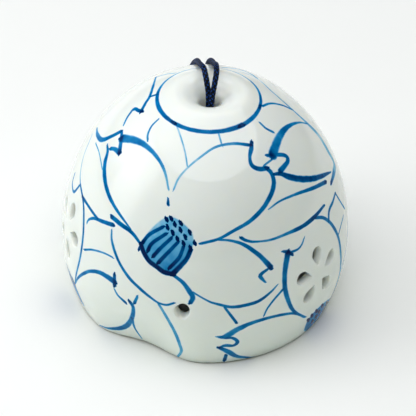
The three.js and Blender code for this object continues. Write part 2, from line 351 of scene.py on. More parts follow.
def arch_share(azimuth, height):
    """How much of the arch's press and rise a point of the wall takes."""
    turn = np.abs((np.degrees(azimuth) - ARCH_AZIMUTH + 180) % 360 - 180)
    wave = np.where(turn < ARCH_HALF_WIDTH, (1 + np.cos(np.pi * turn / ARCH_HALF_WIDTH)) / 2, 0)
    t = np.clip(height / ARCH_FADE, 0, 1)
    return wave * (1 - t * t * (3 - 2 * t))


def bell_section():
    """The wall's section: up the outside, over the crown, down the throat and back inside."""
    inner_radius, inner_rise, inner_drop = BELL_RADIUS - WALL, DOME_RISE - WALL, LOWER_DROP - WALL
    foot = math.degrees(math.asin((FOOT_ROUND - WIDEST_HEIGHT) / LOWER_DROP))
    inner_foot = math.degrees(math.asin((FOOT_ROUND - WIDEST_HEIGHT) / inner_drop))
    crown = math.degrees(math.acos(CROWN_RADIUS / BELL_RADIUS))
    ceiling_turn = math.degrees(math.acos(CREST_RADIUS / inner_radius))
    outside = np.vstack([oval(0, WIDEST_HEIGHT, BELL_RADIUS, LOWER_DROP, foot, 0),
                         oval(0, WIDEST_HEIGHT, BELL_RADIUS, DOME_RISE, 0, crown)[1:]])
    reach = (CROWN_RADIUS - CREST_RADIUS) / 3
    slope = DOME_RISE / BELL_RADIUS / math.tan(math.radians(crown))
    t = np.linspace(0, 1, SWELL_POINTS)[:, None]
    corners = np.array([outside[-1], outside[-1] + [-reach, reach * slope],
                        (CREST_RADIUS + reach, CREST_HEIGHT), (CREST_RADIUS, CREST_HEIGHT)])
    swell = ((1 - t)**3 * corners[0] + 3 * (1 - t)**2 * t * corners[1]
             + 3 * (1 - t) * t**2 * corners[2] + t**3 * corners[3])
    dish = smooth([corners[3]] + [(radius, CREST_HEIGHT - depth) for radius, depth in DISH])
    neck = THROAT_RADIUS + WALL
    lip = [oval(THROAT_RADIUS + NECK_ROUND, NECK_END + NECK_ROUND, NECK_ROUND, NECK_ROUND, 180, 270),
           oval(neck - NECK_ROUND, NECK_END + NECK_ROUND, NECK_ROUND, NECK_ROUND, 270, 360)]
    ceiling = WIDEST_HEIGHT + inner_rise * math.sqrt(1 - (CREST_RADIUS / inner_radius) ** 2)
    under = oval(CREST_RADIUS, NECK_TOP, CREST_RADIUS - neck, ceiling - NECK_TOP, 180, 90)
    inside = np.vstack([oval(0, WIDEST_HEIGHT, inner_radius, inner_rise, ceiling_turn, 0),
                        oval(0, WIDEST_HEIGHT, inner_radius, inner_drop, 0, inner_foot)[1:]])
    heel = oval(outside[0][0] - FOOT_ROUND, FOOT_ROUND, FOOT_ROUND, FOOT_ROUND, -90, 0)
    toe = oval(inside[-1][0] + FOOT_ROUND, FOOT_ROUND, FOOT_ROUND, FOOT_ROUND, 180, 270)
    stretches = [(heel, HEEL_GRID), (outside, PAINT_GRID), (swell, PAINT_GRID), (dish, DISH_GRID),
                 (lip[0], ROUND_GRID), (lip[1], ROUND_GRID), (under, CEILING_GRID), (inside, INNER_GRID),
                 (toe, ROUND_GRID)]
    section = []
    for points, spacing in stretches:
        for point in evenly(points, spacing):
            if not section or np.linalg.norm(point - section[-1]) > SAME_POINT:
                section.append(point)
    return section


def petal_outline():
    """Outline of one pierced petal about its middle, pointed towards the flower's heart."""
    half = [(across * PETAL_WIDTH / 2, up * PETAL_LENGTH / 2) for across, up in PETAL_SIDE]
    right = smooth(half, PETAL_STEPS)
    left = right[-2:0:-1] * [-1, 1]
    return np.vstack([right, left])


def hole_outline():
    turn = np.linspace(0, 2 * np.pi, HOLE_STEPS, endpoint=False)
    return np.stack([HOLE_WIDTH / 2 * np.sin(turn), -HOLE_LENGTH / 2 * np.cos(turn)], 1)


def piercing(bm, outline, azimuth, height, turn, flare=0):
    """A cutter through the wall: its glazed lip is round, and may be scraped wider at the lower left."""
    cos, sin = math.cos(turn), math.sin(turn)
    ahead = np.roll(outline, -1, axis=0) - np.roll(outline, 1, axis=0)
    away = unit(np.stack([ahead[:, 1], -ahead[:, 0]], 1))
    scraped = flare * np.clip(HOLE_FLARE_WAY[1] * away[:, 1] + HOLE_FLARE_WAY[0] * away[:, 0], 0, 1)
    rings = [(LIP_ROUND * CUTTER_MOUTH, -LIP_ROUND * CUTTER_RISE)]
    for step in range(LIP_STEPS):
        bend = math.radians(LIP_START + (90 - LIP_START) * step / (LIP_STEPS - 1))
        rings.append((LIP_ROUND * (1 - math.sin(bend)), LIP_ROUND * (1 - math.cos(bend))))
    rings += [(0, HOLE_FLARE_DEPTH), (0, WALL * CUTTER_DEPTH)]
    made = bmesh.ops.create_circle(bm, cap_ends=True, segments=len(outline), radius=1)["verts"]
    order = bm.verts.layers.int["order"]
    for number, vert in enumerate(made):
        vert[order] = number
    face = made[0].link_faces[0]
    for number, (offset, depth) in enumerate(rings):
        if number:
            grown = bmesh.ops.extrude_face_region(bm, geom=[face])["geom"]
            if number > 1 and face.is_valid:
                bmesh.ops.delete(bm, geom=[face], context="FACES_ONLY")
            face = next(g for g in grown if isinstance(g, bmesh.types.BMFace))
        wider = offset + scraped * max(0, 1 - depth / HOLE_FLARE_DEPTH)
        edge = outline + away * wider[:, None]
        for vert in face.verts:
            across, up = edge[vert[order]]
            level = height + (up * cos - across * sin)
            bearing = math.radians(azimuth) + (across * cos + up * sin) / BELL_RADIUS
            radius = BELL_RADIUS * math.sqrt(1 - ((level - WIDEST_HEIGHT) / half_height(level)) ** 2) - depth
            vert.co = (radius * math.sin(bearing), -radius * math.cos(bearing), level)


def bell_mesh():
    """The bell's wall: turned, pressed in at its arch and pierced."""
    shell = spun(bell_section(), TURNS)
    for vert in shell.verts:
        share = float(arch_share(math.atan2(vert.co.x, -vert.co.y), vert.co.z))
        if share:
            press = 1 - ARCH_PRESS * share / math.hypot(vert.co.x, vert.co.y)
            vert.co = (vert.co.x * press, vert.co.y * press, vert.co.z + ARCH_RISE * share)
    cutters = bmesh.new()
    cutters.verts.layers.int.new("order")
    for azimuth, height, tilt in FLOWERS:
        for petal in range(PETAL_COUNT):
            turn = math.radians(tilt) + 2 * math.pi * petal / PETAL_COUNT
            bearing = azimuth + math.degrees(PETAL_RING * math.sin(turn) / BELL_RADIUS)
            piercing(cutters, petal_outline(), bearing, height + PETAL_RING * math.cos(turn), turn)
    piercing(cutters, hole_outline(), HOLE_AZIMUTH, HOLE_HEIGHT, 0, HOLE_FLARE)
    bmesh.ops.recalc_face_normals(cutters, faces=cutters.faces)
    pieces = [bpy.data.objects.new("shape", made_mesh("shape", bm)) for bm in (shell, cutters)]
    for piece in pieces:
        bpy.context.collection.objects.link(piece)
    cut = pieces[0].modifiers.new("cut", "BOOLEAN")
    cut.object = pieces[1]
    cut.solver = "EXACT"
    pierced = pieces[0].evaluated_get(bpy.context.evaluated_depsgraph_get())
    mesh = bpy.data.meshes.new_from_object(pierced)
    for piece in pieces:
        bpy.data.objects.remove(piece)
    return mesh


# Painting: underglaze brush strokes, kept on the bell's vertices
# Drawing planes: the azimuth of each, and how far to its left and right a side's strokes go
SIDE_EDGES = (-64, 62)
SHEETS = ((0, None), (115.4, SIDE_EDGES), (233, SIDE_EDGES))
# A side's strokes begin where the wall has turned this far from the front's viewer; fewest points of one
FRONT_BACK = look_along(0, VIEW_ELEVATION, VIEW_ROLL)[2]
HIDDEN = -0.12
SHORTEST_LINE = 4
# Line round the crown, and its strokes: first and last turn, widths and strengths
RING_RADIUS = 13.2
RING_MIDDLE = (-0.3, -0.6)
RING_POINTS = 80
RING_STROKES = ((180, 321, (0.35, 0.4, 0.7, 0.95, 0.8), (0.6, 0.75, 1.1, 1.05)),
                (318, 402, (0.85, 0.9, 0.95, 1, 1.1), 0.95),
                (398, 442, (1, 0.9, 0.75), 1.05),
                (439, 541, (0.75, 0.6, 0.45, 0.35), (1.05, 0.85, 0.6)))
# Strokes: how much firing widens them, and their strength by width
BRUSH_SPREAD = 1.2
TONE_WIDTHS = (0.3, 0.6, 1, 1.5, 2.2)
TONES = (0.38, 0.54, 0.65, 0.62, 0.54)
# Colour pools where a stroke ends broad: from which width, over how much more, how far along, how strong
POOL_WIDTH = 0.6
POOL_RANGE = 0.5
POOL_LENGTH = 0.8
POOL_STRENGTH = 0.3
# Dabs of the brush's tip: half their length across and up, how they widen, and their strength
DAB_REACH = (0.08, 0.2)
DAB_SPREAD = 1.1
DAB_STRENGTH = 1.9
# Strokes whose edges come this close lie in layers of their own
LAYERS = 5
LAYER_GAP = 0.9
# Steps along a stroke, how far about a stroke and a wash spots are looked at, and a distance for the others
STROKE_STEP = 0.4
STROKE_REACH = 2.2
WASH_REACH = 20
FAR = 9.0
# The low pod is washed as seen from further round
LOW_POD_TURN = 57
# Lips take paint down to this depth
PAINT_DEPTH = 0.9
# Rounds that find a spot's height before the arch was drawn up, and a press too faint to matter
ARCH_ROUNDS = 12
ARCH_FAINT = 0.01


class Painting:
    """For each spot on the glaze and each layer: the distance to the nearest stroke in half widths, signed
    by side, the distance to its edge in millimetres, and the stroke's strength. The wash has the distance
    to its edge and its strength."""

    def __init__(self, spots, outward):
        self.spots, self.outward = spots, outward
        self.layers = np.full((LAYERS, len(spots), 3), FAR)
        self.layers[:, :, 2] = 0
        self.wash = np.full((len(spots), 3), FAR)

    def stroke(self, line, widths, strength=1.0):
        """One stroke along a line on the bell, in the layer that is emptiest there."""
        line = evenly(line, STROKE_STEP)
        share = np.linspace(0, 1, len(line))
        width = BRUSH_SPREAD * np.interp(share, np.linspace(0, 1, len(widths)), widths)
        along = share * np.linalg.norm(np.diff(line, axis=0), axis=1).sum()
        from_end = np.minimum(along, along[-1] - along)
        end_width = np.where(along < along[-1] / 2, width[0], width[-1])
        pool = np.clip((end_width - POOL_WIDTH) / POOL_RANGE, 0, 1) * np.exp(-from_end / POOL_LENGTH)
        strength = np.interp(share, np.linspace(0, 1, np.size(strength)), np.atleast_1d(strength))
        tone = strength * (np.interp(width, TONE_WIDTHS, TONES) + POOL_STRENGTH * pool)
        low, high = line.min(0) - STROKE_REACH, line.max(0) + STROKE_REACH
        near = np.flatnonzero(((self.spots > low) & (self.spots < high)).all(1))
        spots, outward = self.spots[near], self.outward[near]
        best = np.full(len(near), np.inf)
        found = np.zeros((len(near), 3))
        for i in range(len(line) - 1):
            step = line[i + 1] - line[i]
            gap = spots - line[i]
            t = np.clip(gap @ step / (step @ step), 0, 1)
            gap = gap - t[:, None] * step
            gap -= outward * (gap * outward).sum(1)[:, None]
            distance = np.linalg.norm(gap, axis=1)
            half = (width[i] + t * (width[i + 1] - width[i])) / 2
            edge = distance - half
            side = np.where((np.cross(step, gap) * outward).sum(1) < 0, -1.0, 1.0)
            closer = edge < best
            best = np.where(closer, edge, best)
            value = np.stack([side * distance / half, edge, tone[i] + t * (tone[i + 1] - tone[i])], 1)
            found[closer] = value[closer]
        here = near[best < LAYER_GAP]
        layer = min(self.layers, key=lambda kept: (kept[here, 1] < LAYER_GAP).sum())
        closer = best < layer[near, 1]
        layer[near[closer]] = found[closer]


class Sheet:
    """A drawing plane through the bell's middle, seen from one side, whose lines fall on the bell."""

    def __init__(self, painting, azimuth, edges=None, roll=VIEW_ROLL):
        self.painting, self.azimuth, self.edges = painting, azimuth, edges
        self.right, self.up, self.back = look_along(azimuth, VIEW_ELEVATION, roll)
        self.eye = np.array(VIEW_AIM) + VIEW_DISTANCE * self.back

    def on_bell(self, points):
        """Where points of the sheet fall on the round wall."""
        points = np.asarray(points, float)
        ray = np.array(VIEW_AIM) + points[:, :1] * self.right + points[:, 1:] * self.up - self.eye
        hits = []
        for rise in (DOME_RISE, LOWER_DROP):
            scale = np.array([1 / BELL_RADIUS, 1 / BELL_RADIUS, 1 / rise])
            start, way = (self.eye - [0, 0, WIDEST_HEIGHT]) * scale, ray * scale
            a, b, c = (way * way).sum(1), 2 * (way @ start), start @ start - 1
            t = (-b - np.sqrt(np.maximum(b * b - 4 * a * c, 0))) / (2 * a)
            hits.append(self.eye + t[:, None] * ray)
        return np.where(hits[0][:, 2:] < WIDEST_HEIGHT, hits[1], hits[0])

    def flat(self, spots):
        """Where spots on the bell lie on the sheet."""
        away = self.eye - spots
        place = np.stack([-(away @ self.right), -(away @ self.up)], 1)
        return VIEW_DISTANCE * place / (away @ self.back)[:, None]

    def stroke(self, widths, *points, strength=1.0):
        """One stroke through some points: a side's is cut off at its edges and where the front is seen."""
        line = self.on_bell(smooth(points))
        if self.edges:
            turn = np.degrees(np.arctan2(line[:, 0], -line[:, 1])) - self.azimuth
            turn = (turn + 180) % 360 - 180
            hidden = unit(wall_slope(line)) @ FRONT_BACK < HIDDEN
            kept = np.flatnonzero(hidden & (turn > self.edges[0]) & (turn < self.edges[1]))
            runs = np.split(kept, np.flatnonzero(np.diff(kept) > 1) + 1)
            line = line[max(runs, key=len)]
            if len(line) < SHORTEST_LINE:
                return
        self.painting.stroke(line, widths, strength)

    def dabs(self, width, *points):
        """Short dabs about some points."""
        for across, up in points:
            self.stroke((width, width * DAB_SPREAD), (across - DAB_REACH[0], up + DAB_REACH[1]),
                        (across + DAB_REACH[0], up - DAB_REACH[1]), strength=DAB_STRENGTH)

    def wash(self, *outline, top=0.24, bottom=0.47):
        """A thin wash inside an outline, weaker towards its top."""
        outline = smooth(list(outline) + [outline[0]])
        painting = self.painting
        place = self.flat(painting.spots)
        facing = (painting.outward * (self.eye - painting.spots)).sum(1) > 0
        if self.edges:
            facing &= painting.outward @ FRONT_BACK < HIDDEN
        near = np.flatnonzero(facing & (np.abs(place - outline.mean(0)).max(1) < WASH_REACH))
        spots = place[near]
        inside = np.zeros(len(near), bool)
        best = np.full(len(near), FAR)
        for one, other in zip(outline, np.roll(outline, -1, axis=0)):
            step = other - one
            if step @ step == 0:
                continue
            gap = spots - one
            t = np.clip(gap @ step / (step @ step), 0, 1)
            best = np.minimum(best, np.linalg.norm(gap - t[:, None] * step, axis=1))
            crosses = (one[1] > spots[:, 1]) != (other[1] > spots[:, 1])
            inside ^= crosses & (spots[:, 0] < one[0] + (spots[:, 1] - one[1]) * step[0] / (step[1] or 1))
        edge = np.where(inside, -best, best)
        closer = edge < painting.wash[near, 0]
        depth = np.interp(spots[:, 1], (outline[:, 1].min(), outline[:, 1].max()), (bottom, top))
        painting.wash[near[closer]] = np.stack([edge, depth, depth], 1)[closer]


def paint_lotus(sheet):
    """One lotus: an open bloom with its seed pod, and the petals of its neighbours."""
    stroke = sheet.stroke
    # Seed pod
    sheet.wash((-17.5, -9.5), (-16, -6.7), (-13.7, -4.2), (-11.5, -2.6), (-9.5, -2.2), (-7.2, -3.3),
               (-5, -5.3), (-3.8, -7.3), (-3.8, -9.2), (-4.4, -11.2), (-6.1, -13.8), (-8.9, -17.2),
               (-11.5, -16.6), (-14.6, -14.6), (-16.7, -11.7))
    stroke((0.9, 1, 1, 1.05, 1.05), (-17.5, -9.5), (-16.7, -11.7), (-15.4, -13.8), (-13.2, -15.5),
           (-11.5, -16.7), (-9.2, -17.3), strength=1.5)
    stroke((1.1, 0.95, 0.9), (-9.2, -17.2), (-6.9, -14.9), (-5.5, -13.2), (-4.5, -10.9),
           strength=(1.5, 1.1, 1.3))
    for start, bend, end in (
            ((-17.2, -9.2), (-15.4, -7), (-11.7, -4.9)), ((-15.7, -11.2), (-14.6, -9.2), (-10.9, -6.7)),
            ((-14.3, -12.6), (-12.3, -10.4), (-9.5, -7.8)), ((-13, -14.3), (-10.9, -12.1), (-7.9, -9)),
            ((-10.1, -15.7), (-7.5, -12.9), (-6.4, -10.1))):
        stroke((0.8, 0.75, 0.7), start, bend, end, strength=(1.5, 1.05, 1.1))
    sheet.dabs(0.68, (-10.8, -2.9), (-9.6, -2.7), (-8.7, -4.2), (-7.1, -3.9), (-10.6, -5), (-7.2, -5.7),
               (-9.2, -6.4), (-4.7, -6.3), (-8, -8), (-5.9, -7.5), (-6.4, -9.2), (-3.5, -9.1), (-4.6, -10.4))
    # Left petal
    stroke((1.9, 1.5, 1.05, 0.8, 0.6, 0.45), (-22.4, 18.1), (-19.9, 17.9), (-17.2, 16.9), (-14.4, 14.6),
           (-12.4, 11.9), (-11.1, 8.9), (-10.3, 4.9), strength=(1, 0.95, 0.72, 0.62))
    stroke((0.4, 0.65), (-10.4, 2.5), (-10.4, 1), strength=1.2)
    stroke((0.7, 1.05, 1.1), (-22.5, 19.9), (-22.7, 17.4), (-23.2, 14.4), strength=0.95)
    stroke((1.3, 1, 0.85), (-23.2, 14.6), (-24.4, 15.4), (-25.4, 15.5), strength=0.8)
    stroke((0.5, 1.1, 1.15, 1, 0.85, 0.6, 0.35), (-26.3, 16.4), (-26.2, 14.6), (-26.9, 11.7), (-27, 8.4),
           (-26.4, 4.9), (-25.1, 1.7), (-23.3, -1.3), (-20.1, -5.6))
    stroke((1, 1, 0.8, 0.65), (-25.1, -2.3), (-22.8, -4.2), (-19.9, -6.4), (-17.5, -9.5))
    stroke((0.55, 0.65), (-17.2, -8.9), (-18, -10.8), strength=1.2)
    # Right petal
    stroke((0.45, 0.45, 0.5, 0.6, 0.75), (-9, 4.7), (-7.7, 7.7), (-5.4, 10.4), (-2.2, 13.1), (2, 15.9),
           (6.7, 16.8), (11.1, 16.4), strength=(0.62, 0.5, 0.6, 0.8, 1))
    stroke((0.8, 1, 0.65, 0.9, 1, 0.95), (11.4, 17.2), (11.3, 15.4), (10.9, 13.2), (11.5, 11.1), (13.4, 10.2),
           (15.4, 10.4))
    stroke((0.85, 1.05, 1, 0.9, 0.75, 0.6, 0.6), (15.2, 10.4), (16.5, 9.2), (17.2, 6.9), (16.8, 4.4),
           (15.6, 1.9), (13.9, -0.6), (10.7, -3.6), (6.4, -6.1), (2.7, -8.1), (-1.9, -9.3))
    # Lower right petal
    stroke((0.45, 0.6, 0.85, 0.95, 1.2), (2.7, -8.3), (5.8, -8.5), (9.2, -9.5), (12.6, -11.7), (14.9, -13.8),
           (16.4, -15.5))
    stroke((0.6, 0.8, 0.8, 0.5), (15.7, -15.9), (13.9, -17.2), (13.6, -17.9), (14.9, -19.3))
    stroke((0.45, 0.45, 0.65, 0.8, 0.85, 0.7, 0.4), (-3.9, -22), (-2.1, -23.1), (0.5, -24.5), (2.2, -25),
           (5.8, -25.8), (9.2, -25.5), (13.2, -24.3), (16.3, -22), (18.1, -20.1))
    stroke((0.7, 0.9, 1.1, 0.95), (-9.2, -17.4), (-6.6, -19.4), (-4.7, -22), (-3.9, -23.4), (-4.6, -24.7))
    stroke((0.55, 0.65), (4.4, -26), (7.4, -29.9))
    # Lower left petal and its stem
    stroke((0.45, 0.75, 0.7, 0.8, 0.75, 0.5, 0.55), (-25.1, -5.8), (-25.1, -8.4), (-24.2, -11.7),
           (-22.8, -14.9), (-20.5, -18.3), (-17.7, -21.1), (-14.9, -23.4), (-13, -24.7), (-10.9, -25.3),
           (-8.9, -24.8))
    stroke((0.6, 0.7, 0.75, 0.7, 0.6), (-12.9, -25), (-10.6, -28.8), (-8.6, -32.5), (-7.2, -36.1),
           (-7, -37.5), (-7.9, -38.8), strength=0.68)
    # Left neighbours
    stroke((0.45, 0.95, 1.15, 0.95, 0.85), (-29, 20.9), (-28.9, 19.2), (-27.7, 17.8), (-25.4, 18.6),
           (-22.7, 20))
    stroke((0.35, 0.35), (-29.3, 16.9), (-28.4, 14.4), (-27.6, 10.2), strength=0.85)
    stroke((0.35, 0.35, 0.45), (-30.2, 19.2), (-32.4, 13.7), (-33.3, 9.1), (-33.3, 5.9), strength=0.8)
    stroke((0.6, 0.7, 0.7, 0.6, 0.5), (-33.3, 6), (-32.6, 2), (-32.4, -2.1), (-32.6, -7.3), (-33.3, -12.6),
           (-34.4, -17.4), (-34.7, -20))
    stroke((0.7, 0.65), (-32.8, 3), (-30.4, -0.7), (-28.9, -2.7))
    stroke((0.6, 0.6, 0.7, 0.6), (-34.8, 8.9), (-35.4, 6.4), (-35, 4.2), (-33.5, 5.9))
    stroke((0.45, 0.7, 0.85, 0.95), (-31.6, -3.9), (-31.1, -3), (-29.6, -2.7), (-27.3, -3.6), (-24.8, -4.4))
    stroke((0.5, 0.45, 0.4), (-32.3, -10.9), (-30.2, -10.9), (-27.3, -11.7), (-24.8, -12.9))
    stroke((0.45, 0.65, 0.8, 1.5), (-34.7, -19.8), (-33.7, -18), (-31.3, -16.6), (-28.7, -16.7),
           (-26.5, -17.8), (-24.5, -19.2))
    stroke((0.8, 1), (-24.4, -17.3), (-24.4, -20.2))
    stroke((0.45, 0.7), (-24.4, -21.2), (-23.5, -22.8), (-21.5, -24.7))
    stroke((0.8, 1, 1.15, 1, 0.6, 0.35), (-20.5, -24.3), (-19.5, -26), (-19.8, -28.5), (-21, -30.5),
           (-23.1, -31.4), (-26, -31.4), (-28.3, -30.6))
    stroke((0.6, 0.75), (-18.4, -23.1), (-19.2, -24.8))
    stroke((0.7, 0.35), (-19.8, -28.8), (-19.1, -31.3), (-17.3, -34))
    # Upper left neighbours
    stroke((0.4, 0.65, 0.85), (-13.6, 34.2), (-15.1, 29.4), (-16.4, 27.2), (-17.5, 25.1))
    stroke((0.9, 0.75, 0.6, 0.45), (-17.2, 25.2), (-18.3, 25.5), (-19.2, 26), (-20.2, 24.9), (-21.2, 23.4),
           (-22, 21.7))
    stroke((0.6, 0.6), (-15, 29.1), (-13.4, 29.6))
    stroke((0.4, 0.4), (-13.6, 34.1), (-11, 34.9), (-8.6, 35.2), strength=0.7)
    stroke((0.4, 0.5), (-12.9, 23.2), (-14.7, 21.4), (-15.7, 19.2), (-15.7, 17.7))
    stroke((0.4, 0.35), (-8.3, 21.9), (-6.9, 17.9), (-5.9, 14.2), (-5.4, 10.9), strength=0.62)
    # Upper right neighbours
    stroke((0.35, 0.4, 0.45, 0.6, 1.3, 1.9, 1.5, 0.8), (7.9, 35.9), (12.9, 33.7), (16.9, 30.2), (22.1, 25.6),
           (26.1, 21.9), (28.9, 18.9), (31.2, 15.1), (32.9, 11.7), (32.8, 9.1), (32.1, 6.4),
           strength=(0.5, 0.62, 0.65, 0.55, 0.6, 1))
    stroke((0.6, 0.8, 0.6), (3.9, 36.7), (7.6, 36.3), (10.8, 35.2), (12.8, 33.9), strength=0.7)
    stroke((0.6, 0.5), (14.2, 26.6), (16.4, 27.3), (19.4, 26.8), (22.1, 25.6))
    stroke((0.45, 0.6), (13.5, 22.3), (15.1, 20.8), (17, 19.8))
    stroke((0.45, 0.4), (2.7, 19.7), (3.7, 16.2), strength=0.65)
    stroke((0.42, 0.5, 0.8, 1.3, 1.8, 2.1), (25.9, 22), (23.7, 22.3), (21.1, 21.4), (19.1, 19.4),
           (17.9, 16.9), (16.9, 13.9))
    stroke((0.7, 0.85, 0.85, 1, 1.3), (15.4, 13.7), (17.9, 13.9), (20.2, 13.7), (20.9, 12.4), (19.9, 10.9),
           (18.9, 9.7))
    stroke((0.45, 0.45), (14.5, 11), (17.4, 13.2))
    stroke((0.6, 1.3, 1.35, 1.2, 0.9, 0.35), (17.2, 8.8), (19.1, 8.9), (21.6, 8), (24.9, 7.5), (28.4, 7.9),
           (32.1, 9.4), strength=1.2)
    stroke((0.9, 0.8, 0.55, 0.35), (30.7, 6.8), (27.4, 5.2), (22.4, 3.4), (18.6, 1.7), (15.9, -0.3))
    stroke((0.6, 1, 0.9, 0.6, 0.45, 0.7), (30.3, 0.7), (27.9, -2.2), (24.8, -4.7), (20.6, -6.7), (16.3, -8.3),
           (12.1, -8.8), (9.8, -8.4), (8.7, -7.8), strength=(1.1, 1.3, 1, 0.9, 1))
    stroke((0.6, 0.8, 0.7), (33.2, 3.9), (32.6, 1.7), (31.6, -0.7), (31.5, -3.3))
    stroke((0.5, 0.6), (33.2, 3.9), (35.6, -0.1))
    stroke((0.5, 0.5), (35.3, -2.2), (33.9, -7.5))
    # Petal that frames the pierced flower on the right
    stroke((1.45, 1.2, 1.05, 0.75, 0.5), (20.9, -11.7), (20.3, -14.9), (20, -17.8), (20.1, -20.9),
           (20.9, -24), (22.3, -26.8), (25.1, -28.5))
    stroke((0.5, 0.9, 0.7), (19.5, -11.3), (20.6, -11.5), (22, -12.1), strength=1.15)
    stroke((0.6, 0.4), (21.7, -11.5), (23.4, -10.8), (24.5, -9.5), (25.1, -7.7))
    stroke((0.7, 0.8, 0.9, 1.1, 1.2, 1.2), (28.2, -2.5), (30.2, -2.6), (32.2, -4.2), (33.9, -7.3),
           (34.6, -11.2), (34.6, -15.5), (33.7, -19.4), (32.6, -22.3), strength=(1, 0.9, 0.75, 0.7))
    stroke((0.7, 0.7), (36.5, -3.6), (36.1, -10.1), (34.7, -16.3), strength=0.7)
    stroke((0.65, 0.45), (19.7, -21.1), (17.4, -23.7), (15.5, -26.2), (14.6, -28.1))
    # Low petal on the right
    stroke((0.55, 0.6, 0.7, 0.75, 0.8, 0.9, 1.1, 1.5, 1.7, 0.3), (25.4, -28.5), (22.6, -27.5), (19.1, -27.9),
           (14.9, -28.9), (10.7, -30.3), (7.3, -31.9), (4.4, -33.6), (2, -33.6))
    stroke((0.6, 0.8, 0.85, 0.85, 1.1, 0.35), (4.7, -34), (6.4, -33.9), (7.7, -34.9), (6.7, -35.9),
           (4.4, -35.9), (2.6, -36.6))
    stroke((0.9, 1.4, 1.1, 0.85, 0.4), (2.9, -36.4), (5.3, -37.5), (7.5, -38.7), (10.7, -39), (12.6, -38.8))
    stroke((0.8, 0.8), (4.7, -38.4), (4.3, -39.8))


def paint_low_pod(sheet):
    """The top of a seed pod that rises from the rim under the pierced flower."""
    turned = Sheet(sheet.painting, sheet.azimuth + LOW_POD_TURN, roll=0)
    outline = ((32.4, -23.1), (30.6, -24.4), (28.6, -26.2), (26.8, -28.2), (25.7, -29.9), (25.1, -32.1),
               (26.6, -31.6), (28.3, -30.3), (30.2, -28.2), (31.9, -25.7))
    turned.wash(*turned.flat(sheet.on_bell(outline)), top=0.56, bottom=0.72)
    whole = Sheet(sheet.painting, sheet.azimuth)
    whole.dabs(0.75, (32, -23.7), (31, -24.7), (29.8, -25.5), (29, -27.1), (28.3, -26.9), (28.2, -28.3),
               (27.1, -28.1), (26.2, -29.2), (30.4, -26.2), (27.2, -29.6))


def paint_ring(painting):
    """The line round the crown: four strokes, thin and pale behind, dark where one begins on another."""
    for start, end, widths, strength in RING_STROKES:
        turn = np.radians(np.linspace(start, end, RING_POINTS))
        ring = np.stack([RING_MIDDLE[0] + RING_RADIUS * np.sin(turn),
                         RING_MIDDLE[1] - RING_RADIUS * np.cos(turn),
                         np.full(RING_POINTS, dome(RING_RADIUS))], 1)
        painting.stroke(ring, widths, strength)


def keep(mesh, name, kind, field, values):
    """Values of a mesh's vertices, as an attribute that its material reads."""
    mesh.attributes.new(name, kind, "POINT").data.foreach_set(field, values.ravel())


def paint_bell(mesh):
    """Strokes, wash and bare foot, as attributes of the bell's vertices."""
    count = len(mesh.vertices)
    spots = np.empty(count * 3)
    mesh.vertices.foreach_get("co", spots)
    spots = spots.reshape(-1, 3)
    azimuth = np.arctan2(spots[:, 0], -spots[:, 1])
    height = spots[:, 2].copy()
    for _ in range(ARCH_ROUNDS):
        height = spots[:, 2] - ARCH_RISE * arch_share(azimuth, height)
    pressed = ARCH_PRESS * arch_share(azimuth, height)
    radius = np.hypot(spots[:, 0], spots[:, 1]) + pressed
    slope = wall_slope(np.stack([radius * np.sin(azimuth), -radius * np.cos(azimuth), height], 1))
    share = (height - WIDEST_HEIGHT) / half_height(height)
    depth = ((radius / BELL_RADIUS)**2 + share**2 - 1) / (2 * np.linalg.norm(slope, axis=1))
    glazed = (depth > -PAINT_DEPTH) & (radius > CREST_RADIUS)
    # On the pressed wall the strokes lie where the front's viewer would see them on a round one
    front = Sheet(None, 0)
    arch = pressed > ARCH_FAINT
    spots[arch] = front.on_bell(front.flat(spots[arch]))
    painting = Painting(spots[glazed], unit(slope)[glazed])
    paint_ring(painting)
    for bearing, edges in SHEETS:
        sheet = Sheet(painting, bearing, edges)
        paint_lotus(sheet)
        paint_low_pod(sheet)
    for number, layer in enumerate(painting.layers):
        values = np.tile([FAR, FAR, 0.0], (count, 1))
        values[glazed] = layer
        keep(mesh, f"brush_{number}", "FLOAT_VECTOR", "vector", values)
    wash = np.tile([FAR, 0.0, 0.0], (count, 1))
    wash[glazed] = painting.wash
    keep(mesh, "wash", "FLOAT_VECTOR", "vector", wash)
    keep(mesh, "foot", "FLOAT", "value", height)


# Glaze: the sizes of its cloudy body, ragged brush edges, pooled colour and ripple
CLOUD_SIZE = 14
RAG_SIZE = 1.6
POOL_SIZE = 3.5
RIPPLE_SIZE = 9
# Shine of the clear glaze and of cobalt under it, and roughness of the glaze and of the bare foot
GLAZE_GLOSS = 0.45
PAINT_GLOSS = 0.1 * GLAZE_GLOSS
GLAZE_ROUGHNESS = 0.035
BARE_ROUGHNESS = 0.7
# Cobalt from the thinnest wash to the fullest stroke
THIN_COBALT = "#B7DBEE"
COBALT = ((0.3, "#62B0D8"), (0.5, "#1480BC"), (0.62, "#0069A8"), (0.78, "#00437E"))
FULL_COBALT = "#001D50"


